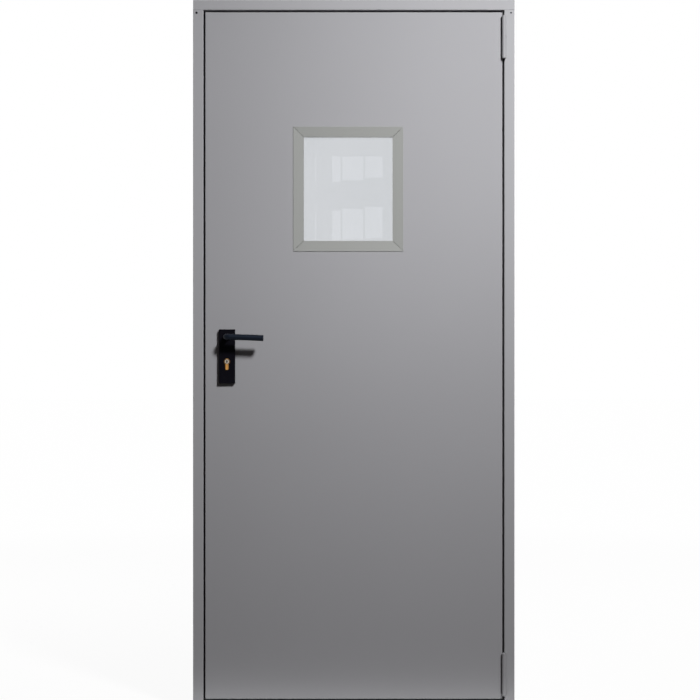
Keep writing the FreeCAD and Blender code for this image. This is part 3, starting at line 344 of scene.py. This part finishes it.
def painted_round_shade(finish, middle, near, far, dark):
    """Painted highlight and painted shade of a round section: lighter along the middle and darker towards
    both edges.
    """
    nodes = finish.node_tree.nodes
    links = finish.node_tree.links
    shader = nodes["Principled BSDF"]
    base = shader.inputs["Base Color"].links[0].from_socket
    place = nodes.new("ShaderNodeTexCoord")
    parts = nodes.new("ShaderNodeSeparateXYZ")
    off = nodes.new("ShaderNodeMath")
    off.operation = "SUBTRACT"
    off.inputs[1].default_value = middle
    away = nodes.new("ShaderNodeMath")
    away.operation = "ABSOLUTE"
    fall = nodes.new("ShaderNodeMapRange")
    fall.interpolation_type = "SMOOTHSTEP"
    fall.inputs["From Min"].default_value = near
    fall.inputs["From Max"].default_value = far
    fall.inputs["To Min"].default_value = 1.0
    fall.inputs["To Max"].default_value = dark
    dim = nodes.new("ShaderNodeVectorMath")
    dim.operation = "SCALE"
    links.new(place.outputs["Object"], parts.inputs[0])
    links.new(parts.outputs["X"], off.inputs[0])
    links.new(off.outputs[0], away.inputs[0])
    links.new(away.outputs[0], fall.inputs["Value"])
    links.new(base, dim.inputs[0])
    links.new(fall.outputs["Result"], dim.inputs["Scale"])
    links.new(dim.outputs["Vector"], shader.inputs["Base Color"])
    return finish


def zinc_coat(name):
    """Galvanised sheet: large pale and dark flakes."""
    finish, nodes, links, shader, place = new_finish(name)
    flakes = nodes.new("ShaderNodeTexVoronoi")
    flakes.inputs["Scale"].default_value = 90.0
    links.new(place.outputs["Object"], flakes.inputs["Vector"])
    zinc = tone(nodes, links, flakes.outputs["Distance"], (0.44, 0.46, 0.48), (0.60, 0.62, 0.64), 0.1, 0.8)
    links.new(zinc, shader.inputs["Base Color"])
    fine = cloud(nodes, links, place, 300.0, 2.0)
    links.new(spread(nodes, links, fine, 0.34, 0.50), shader.inputs["Roughness"])
    shader.inputs["Metallic"].default_value = 0.9
    return finish


def soft_rubber(name, colour):
    """Matt rubber or foam strip, uneven in tone and finely rough."""
    finish, nodes, links, shader, place = new_finish(name)
    wide = cloud(nodes, links, place, 60.0, 2.0)
    dark, light = around(colour, 0.18)
    links.new(tone(nodes, links, wide, dark, light), shader.inputs["Base Color"])
    fine = cloud(nodes, links, place, 1500.0, 1.0)
    links.new(bump(nodes, links, fine, 0.00005, 0.4), shader.inputs["Normal"])
    links.new(spread(nodes, links, wide, 0.62, 0.75), shader.inputs["Roughness"])
    shader.inputs["Specular IOR Level"].default_value = 0.25
    return finish


def wool_fibre(name):
    """Mineral wool: long strands of brown and straw."""
    finish, nodes, links, shader, place = new_finish(name)
    strands = cloud(nodes, links, place, 160.0, 4.0, (1.0, 1.0, 6.0))
    straw = tone(nodes, links, strands, (0.30, 0.24, 0.12), (0.52, 0.44, 0.26))
    links.new(straw, shader.inputs["Base Color"])
    links.new(bump(nodes, links, strands, 0.0012, 0.8), shader.inputs["Normal"])
    shader.inputs["Roughness"].default_value = 0.95
    return finish


def pane_glass(name):
    """Clear glass with a cold tint and a faint waviness."""
    finish, nodes, links, shader, place = new_finish(name)
    wide = cloud(nodes, links, place, 5.0, 1.0)
    cold = tone(nodes, links, wide, (0.792, 0.804, 0.820), (0.802, 0.812, 0.828))
    links.new(cold, shader.inputs["Base Color"])
    links.new(bump(nodes, links, wide, 0.00004, 0.10), shader.inputs["Normal"])
    shader.inputs["Roughness"].default_value = 0.0
    shader.inputs["IOR"].default_value = 1.5
    shader.inputs["Transmission Weight"].default_value = 1.0
    return finish


brass = brushed_metal("cylinder_brass", (0.85, 0.43, 0.120), 0.50, (30.0, 1.0, 1.0), 0.03)
lever_black = (0.0044, 0.0054, 0.0100)
lever_shine = (0.55, 0.74, 1.0)
FINISHES = {
    "leaf_paint": powder_paint("leaf_paint", (0.330, 0.331, 0.347), 0.55),
    "frame_paint": powder_paint("frame_paint", (0.350, 0.352, 0.367), 0.55),
    "hinge_paint": powder_paint("hinge_paint", (0.325, 0.326, 0.340), 0.46),
    "trim_paint": powder_paint("trim_paint", (0.296, 0.304, 0.293), 0.50),
    "galvanised_sheet": zinc_coat("galvanised_sheet"),
    "lock_steel": brushed_metal("lock_steel", (0.52, 0.52, 0.51), 0.36),
    # the brass is painted lighter along the middle and darker at the sides, as light falls on a round barrel
    "cylinder_brass": painted_round_shade(brass, PIVOT.x, 0.0020, 0.0050, 0.42),
    "plug_nickel": brushed_metal("plug_nickel", (0.86, 0.77, 0.64), 0.40, (30.0, 1.0, 1.0)),
    "plate_plastic": moulded_plastic("plate_plastic", (0.0040, 0.0037, 0.0062), 0.46, 0.04),
    "lever_plastic": moulded_plastic("lever_plastic", lever_black, 0.36, 0.34, lever_shine),
    "black_rubber": soft_rubber("black_rubber", (0.042, 0.027, 0.014)),
    "swelling_strip": soft_rubber("swelling_strip", (0.16, 0.100, 0.060)),
    "mineral_wool": wool_fibre("mineral_wool"),
    "clear_glass": pane_glass("clear_glass"),
    "spacer_metal": brushed_metal("spacer_metal", (0.62, 0.63, 0.64), 0.40),
}


def paint_nodes():
    """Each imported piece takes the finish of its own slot."""
    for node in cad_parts.values():
        for place in node.material_slots:
            name = place.material.name.split(".")[0]
            if name in FINISHES:
                place.material = FINISHES[name]
            else:
                print("no finish for", node.name, name)


# Ways to work a mesh
def deselect():
    """Leaves no piece selected."""
    bpy.ops.object.select_all(action="DESELECT")


def choose(piece):
    """Makes one piece the active one and the only one selected."""
    deselect()
    piece.select_set(True)
    bpy.context.view_layer.objects.active = piece


def pick(piece, wanted, kind="FACE"):
    """In edit mode, selects the faces, edges or points that the rule wants and nothing else."""
    bpy.ops.mesh.select_mode(type=kind)
    bpy.ops.mesh.select_all(action="DESELECT")
    mesh = bmesh.from_edit_mesh(piece.data)
    for part in {"FACE": mesh.faces, "EDGE": mesh.edges, "VERT": mesh.verts}[kind]:
        if wanted(part):
            part.select_set(True)
    mesh.select_flush(True)
    bmesh.update_edit_mesh(piece.data)


def turned(name, profile, steps=40, ring=False):
    """A turned piece round Z, solid or a ring: a circle drawn out along a profile of radius and height."""
    deselect()
    bpy.ops.mesh.primitive_circle_add(vertices=steps, radius=profile[0][0])
    piece = bpy.context.object
    piece.name = name
    bpy.ops.object.mode_set(mode="EDIT")
    bpy.ops.mesh.select_mode(type="VERT")
    bpy.ops.mesh.select_all(action="SELECT")
    bpy.ops.transform.translate(value=(0, 0, profile[0][1]))
    if not ring:
        bpy.ops.mesh.edge_face_add()
    for (radius, height), (next_radius, next_height) in zip(profile, profile[1:]):
        bpy.ops.mesh.extrude_region_move()
        bpy.ops.transform.translate(value=(0, 0, next_height - height))
        factor = next_radius / radius
        bpy.ops.transform.resize(value=(factor, factor, 1), center_override=(0, 0, next_height))
    if ring:
        bpy.ops.mesh.select_all(action="DESELECT")
        bpy.ops.mesh.select_mode(type="EDGE")
        bpy.ops.mesh.select_non_manifold()
        bpy.ops.mesh.bridge_edge_loops()
    bpy.ops.mesh.select_all(action="SELECT")
    bpy.ops.mesh.normals_make_consistent(inside=False)
    bpy.ops.object.mode_set(mode="OBJECT")
    return piece


def copies(piece, spots, facing=(0, 0, 0)):
    """One piece with a copy of the first at each spot, its Z turned to where it faces."""
    made = []
    for spot in spots:
        copy = piece.copy()
        copy.data = piece.data.copy()
        bpy.context.scene.collection.objects.link(copy)
        copy.rotation_euler = facing
        copy.location = spot
        made.append(copy)
    name = piece.name
    bpy.data.objects.remove(piece)
    deselect()
    for copy in made:
        copy.select_set(True)
    bpy.context.view_layer.objects.active = made[0]
    bpy.ops.object.transform_apply(location=True, rotation=True, scale=True)
    if len(made) > 1:
        bpy.ops.object.join()
    whole = bpy.context.view_layer.objects.active
    whole.name = name
    return whole


def settle(piece, body, finish, angle=35):
    """Smooths a piece up to that edge angle, gives it its finish and lets it ride on its body."""
    choose(piece)
    bpy.ops.object.transform_apply(location=True, rotation=True, scale=True)
    bpy.ops.object.shade_smooth_by_angle(angle=math.radians(angle))
    piece.data.materials.clear()
    piece.data.materials.append(FINISHES[finish])
    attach(piece, body)
    deselect()


# Turns that make a piece built along Z face that side
FRONT = (math.radians(90), 0, 0)
REAR = (math.radians(-90), 0, 0)
LEFT = (0, math.radians(-90), 0)
RIGHT = (0, math.radians(90), 0)
DOWN = (math.radians(180), 0, 0)


def screw_head(name, radius, rise, drive):
    """A countersunk head with a bevelled rim and a hexagonal socket, its top at rise over Z = 0."""
    rim = radius * 0.10
    profile = [
        (radius * 0.55, -radius * 0.40),
        (radius * 0.97, -0.00002),
        (radius, rise * 0.35),
        (radius - rim * 0.4, rise * 0.8),
        (radius - rim, rise),
    ]
    head = turned(name, profile, 32)
    deselect()
    bpy.ops.mesh.primitive_cylinder_add(vertices=6, radius=drive, depth=radius * 0.7)
    socket = bpy.context.object
    socket.location = (0, 0, rise)
    bpy.ops.object.transform_apply(location=True, rotation=True, scale=True)
    cut = head.modifiers.new("socket", "BOOLEAN")
    cut.operation = "DIFFERENCE"
    cut.solver = "EXACT"
    cut.object = socket
    choose(head)
    bpy.ops.object.modifier_apply(modifier=cut.name)
    bpy.data.objects.remove(socket)
    return head


# Hinges: turned caps on the ends of the barrels, a bearing washer between the knuckles, wing screws
def make_hinge_details():
    cap_profile = [
        (0.0058, -0.0015),
        (0.0065, -0.0014),
        (0.0067, -0.0010),
        (0.0067, 0.0001),
        (0.0064, 0.0005),
        (0.0050, 0.0008),
        (0.0024, 0.00095),
    ]
    washer_profile = [
        (0.0036, -0.0003),
        (0.0057, -0.0003),
        (0.0060, 0.0),
        (0.0057, 0.0003),
        (0.0036, 0.0003),
    ]
    wing_face = 0.434
    wing_screws = ((0.011, 0.012), (0.022, 0.028), (0.011, 0.045))
    for word, level in zip(("lower", "upper"), HINGE_LEVELS):
        top = turned(word + "_hinge_top_cap", cap_profile)
        top = copies(top, [(HINGE.x, HINGE.y, level + HINGE_HALF)])
        settle(top, "leaf", "hinge_paint")
        under = turned(word + "_hinge_end_cap", cap_profile)
        under = copies(under, [(HINGE.x, HINGE.y, level - HINGE_HALF)], DOWN)
        settle(under, "frame", "hinge_paint")
        washer = turned(word + "_hinge_washer", washer_profile, ring=True)
        washer = copies(washer, [(HINGE.x, HINGE.y, level)])
        settle(washer, "frame", "lock_steel")
        spots = [(wing_face, depth, level + up) for depth, up in wing_screws]
        screws = copies(screw_head(word + "_hinge_leaf_screws", 0.0034, 0.00030, 0.0016), spots, RIGHT)
        settle(screws, "leaf", "lock_steel")


# Handles: a turned collar round each lever's neck, and the two through screws of the back plate
def make_handle_details():
    collar_profile = [
        (0.0095, 0.0),
        (0.0122, 0.0),
        (0.0122, 0.0006),
        (0.0116, 0.0012),
        (0.0102, 0.0014),
        (0.0095, 0.0011),
    ]
    front_face = LEAF_FRONT - PLATE_THICK
    back_face = LEAF_BACK + PLATE_THICK
    for word, face, facing in (("front", front_face, FRONT), ("back", back_face, REAR)):
        ring_piece = turned(word + "_lever_collar", collar_profile, 56, True)
        ring_piece = copies(ring_piece, [(PIVOT.x, face, PIVOT.z)], facing)
        settle(ring_piece, "leaf", "plate_plastic")
    spots = [(PIVOT.x, back_face, level) for level in (1.058, 0.977)]
    screws = copies(screw_head("back_plate_screws", 0.0045, 0.00035, 0.0020), spots, REAR)
    settle(screws, "leaf", "lock_steel")


def low_ring(inner, crest, outer):
    """The profile of a flat ring that rises a tenth of a millimetre to its crest."""
    return [(inner, -0.0001), (outer, -0.0001), (outer, 0.0001), (crest, 0.0002), (inner, 0.0001)]


# Lock: black linings in the keyways, black ovals round them and black rings round the plugs, which are
# painted shade of the keyways and of the gaps round the plugs, and the screws of the face plate
def make_lock_details():
    face = PLATE_THICK + 0.0023
    lock_edge = -0.434
    lock_depth = 0.018
    plate_screws = (1.1710, 1.0105, 0.9540)
    for word, edge, facing in (("front", LEAF_FRONT - face, FRONT), ("back", LEAF_BACK + face, REAR)):
        # Black lining in each keyway: painted shade that darkens the inside of the keyway
        deselect()
        bpy.ops.mesh.primitive_cube_add(size=1.0)
        keyway_shade = bpy.context.object
        keyway_shade.name = word + "_keyway_shade_box"
        bpy.ops.object.mode_set(mode="EDIT")
        bpy.ops.transform.resize(value=(0.0021, 0.0082, 0.0160))
        bpy.ops.transform.translate(value=(0, 0, -0.0084))
        pick(keyway_shade, lambda side: side.normal.z > 0.9)
        bpy.ops.mesh.inset(thickness=0.00030)
        bpy.ops.mesh.extrude_region_move()
        bpy.ops.transform.translate(value=(0, 0, -0.0120))
        bpy.ops.object.mode_set(mode="OBJECT")
        keyway_shade = copies(keyway_shade, [(PIVOT.x, edge, KEY_Z)], facing)
        settle(keyway_shade, "leaf", "plate_plastic")
        # Flat black ring round each plug: painted shade of the gap between plug and body
        ring = turned(word + "_plug_gap_shade", low_ring(0.0063, 0.0067, 0.0071), 48, True)
        depth = 0.0003 if word == "front" else -0.0003
        ring = copies(ring, [(PIVOT.x, edge + depth, KEY_Z)], facing)
        settle(ring, "leaf", "plate_plastic")
        # Flat black oval round each keyway: painted shade that makes the keyhole look larger and darker
        ring_piece = turned(word + "_keyway_shade_oval", low_ring(0.0010, 0.0018, 0.0021), 32, True)
        choose(ring_piece)
        bpy.ops.object.mode_set(mode="EDIT")
        bpy.ops.mesh.select_all(action="SELECT")
        bpy.ops.transform.resize(value=(1, 1.7, 1), center_override=(0, 0, 0))
        bpy.ops.object.mode_set(mode="OBJECT")
        ring_piece = copies(ring_piece, [(PIVOT.x, edge - depth * 0.1, KEY_Z)], facing)
        settle(ring_piece, "leaf", "plate_plastic")
    spots = [(lock_edge, lock_depth, level) for level in plate_screws]
    screws = copies(screw_head("lock_face_screws", 0.0036, 0.00030, 0.0016), spots, LEFT)
    settle(screws, "leaf", "lock_steel")


def bevel_edge(piece, wanted, size, steps=2):
    """Bevels the edges whose both ends the rule wants."""
    pick(piece, lambda edge: all(wanted(point.co) for point in edge.verts), "EDGE")
    bpy.ops.mesh.bevel(offset=size, segments=steps, affect="EDGES")


def trim_bar(name, sight):
    """A mitred bar whose face falls towards the glass; its sight edge lies on X, its width along Z."""
    half = sight / 2 - 0.00055
    deselect()
    bpy.ops.mesh.primitive_cube_add(size=1.0)
    bar = bpy.context.object
    bar.name = name
    bpy.ops.object.mode_set(mode="EDIT")
    bpy.ops.transform.resize(value=(half * 2, 0.0016, TRIM_FACE))
    bpy.ops.transform.translate(value=(0, -0.0008, TRIM_FACE / 2))
    pick(bar, lambda point: point.co.z > TRIM_FACE * 0.9, "VERT")
    bpy.ops.transform.resize(value=((half + TRIM_FACE) / half, 1, 1), center_override=(0, 0, TRIM_FACE))
    pick(bar, lambda point: point.co.z < 0.001 and point.co.y < -0.001, "VERT")
    bpy.ops.transform.translate(value=(0, TRIM_FALL, 0))
    pick(bar, lambda point: point.co.z < 0.001 and -0.0005 < point.co.y < 0.0005, "VERT")
    bpy.ops.transform.translate(value=(0, 0.0040, 0))
    bevel_edge(bar, lambda co: co.z > TRIM_FACE * 0.9 and co.y < -0.001, 0.0005)
    bevel_edge(bar, lambda co: co.z < 0.001 and co.y < 0.0030, 0.0003)
    bpy.ops.object.mode_set(mode="OBJECT")
    return bar


# Window: sloped trims in front, and small screws that hold the trims of the back
def make_window_details():
    sides = [
        ("top", SIGHT_WIDTH, 0, 0, 1),
        ("right", SIGHT_RISE, 90, 1, 0),
        ("bottom", SIGHT_WIDTH, 180, 0, -1),
        ("left", SIGHT_RISE, 270, -1, 0),
    ]
    for word, sight, turn, side_x, side_z in sides:
        bar = trim_bar("front_trim_" + word + "_bar", sight)
        spot = (WINDOW.x + side_x * SIGHT_WIDTH / 2, LEAF_FRONT, WINDOW.z + side_z * SIGHT_RISE / 2)
        bar = copies(bar, [spot], (0, math.radians(turn), 0))
        settle(bar, "leaf", "trim_paint", 10)
        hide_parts("front_trim_" + word)
    # Two screws on each side of the back trims: how far out they sit, and how far from the middle
    face = LEAF_BACK + 0.0016
    spots = []
    for side in (-1, 1):
        for other in (-1, 1):
            spots.append((WINDOW.x + side * 0.1555, face, WINDOW.z + other * 0.100))
            spots.append((WINDOW.x + other * 0.080, face, WINDOW.z + side * 0.1770))
    screws = copies(screw_head("back_trim_screws", 0.0032, 0.00030, 0.0014), spots, REAR)
    settle(screws, "leaf", "lock_steel")


def sheet_run(outline, half, folds):
    """A length of folded sheet along X: its outline of Y and Z, and which corners are rounded by how much."""
    deselect()
    bpy.ops.mesh.primitive_circle_add(vertices=len(outline), radius=1.0)
    run = bpy.context.object
    for point, (y, z) in zip(run.data.vertices, outline):
        point.co = (-half, y, z)
    bpy.ops.object.mode_set(mode="EDIT")
    bpy.ops.mesh.select_mode(type="VERT")
    bpy.ops.mesh.select_all(action="SELECT")
    bpy.ops.mesh.edge_face_add()
    bpy.ops.mesh.extrude_region_move()
    bpy.ops.transform.translate(value=(half * 2, 0, 0))
    bpy.ops.mesh.select_all(action="SELECT")
    bpy.ops.mesh.normals_make_consistent(inside=False)
    for (y, z), size in folds:
        bevel_edge(run, lambda co: abs(co.y - y) + abs(co.z - z) < 0.0001, size, 3)
    bpy.ops.object.mode_set(mode="OBJECT")
    return run


# Head of the frame: folded sheet in four runs, whose back lip ends where the jambs' lips begin
def make_head():
    sheet = 0.0015
    low = 2.050
    top = 2.080
    stop_low = 2.030
    stop_front = 0.0565
    stop_back = 0.0825
    wall_lip = 2.066
    back_lip = 2.056
    face_half = 0.470
    web_half = 0.4415
    stop_half = 0.4195
    face_outline = [
        (0.0, wall_lip),
        (0.0, top),
        (LEAF_FRONT, top),
        (LEAF_FRONT, low),
        (LEAF_FRONT + sheet, low),
        (LEAF_FRONT + sheet, top - sheet),
        (-sheet, top - sheet),
        (-sheet, wall_lip),
    ]
    web_outline = [
        (LEAF_FRONT + sheet, low),
        (stop_front + sheet, low),
        (stop_front + sheet, low + sheet),
        (LEAF_FRONT + sheet, low + sheet),
    ]
    stop_outline = [
        (stop_front, low),
        (stop_front, stop_low),
        (stop_back, stop_low),
        (stop_back, low),
        (stop_back - sheet, low),
        (stop_back - sheet, stop_low + sheet),
        (stop_front + sheet, stop_low + sheet),
        (stop_front + sheet, low),
    ]
    lip_outline = [
        (stop_back - sheet, low),
        (stop_back, low),
        (stop_back, back_lip),
        (stop_back - sheet, back_lip),
    ]
    face_folds = [((0.0, top), 0.002), ((LEAF_FRONT, top), 0.002), ((LEAF_FRONT, low), 0.0014)]
    stop_folds = [((stop_front, stop_low), 0.002), ((stop_back, stop_low), 0.002)]
    front = sheet_run(face_outline, face_half, face_folds)
    web = sheet_run(web_outline, web_half, [])
    stop = sheet_run(stop_outline, stop_half, stop_folds)
    lip = sheet_run(lip_outline, web_half, [])
    deselect()
    for part in (front, web, stop, lip):
        part.select_set(True)
    bpy.context.view_layer.objects.active = front
    bpy.ops.object.join()
    front.name = "head_sheet"
    settle(front, "frame", "frame_paint", 10)
    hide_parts("frame_head")


# Frame: black discs in the rivet holes of the corners, painted shade of the open holes; caps over the wall
# anchors, floor screws
def make_frame_details():
    cap_profile = [
        (0.0053, -0.0012),
        (0.0053, -0.0001),
        (0.0085, 0.0),
        (0.0085, 0.0002),
        (0.0080, 0.0006),
        (0.0050, 0.0008),
        (0.0020, 0.00085),
    ]
    anchor_levels = (0.250, 0.790, 1.330, 1.870)
    for word, across, facing in (("left", -0.440, RIGHT), ("right", 0.440, LEFT)):
        caps = turned(word + "_anchor_caps", cap_profile, 32)
        caps = copies(caps, [(across, 0.020, level) for level in anchor_levels], facing)
        settle(caps, "frame", "frame_paint")
    spots = [(across, 0.012, 0.030) for across in (-0.300, 0.300)]
    screws = copies(screw_head("threshold_screws", 0.0058, 0.00030, 0.0026), spots)
    settle(screws, "frame", "lock_steel")
    # Black discs in the corner rivet holes: painted shade of the open holes
    for word, across, radius in (("left", -0.460, 0.0033), ("right", 0.460, 0.0025)):
        hole_shade_profile = [
            (0.0018, -0.0020),
            (0.0019, -0.0001),
            (radius, 0.0),
            (radius, 0.0002),
            (radius * 0.8, 0.00045),
            (radius * 0.4, 0.00055),
        ]
        hole_shade = turned(word + "_corner_plug", hole_shade_profile, 28)
        hole_shade = copies(hole_shade, [(across, LEAF_FRONT, 2.042)], FRONT)
        settle(hole_shade, "frame", "plate_plastic")


bpy.context.scene.view_settings.view_transform = "Standard"
add_camera()
add_lamps()
add_cards()
set_world()
add_floor()
paint_nodes()
make_hinge_details()
make_handle_details()
make_lock_details()
make_window_details()
make_head()
make_frame_details()
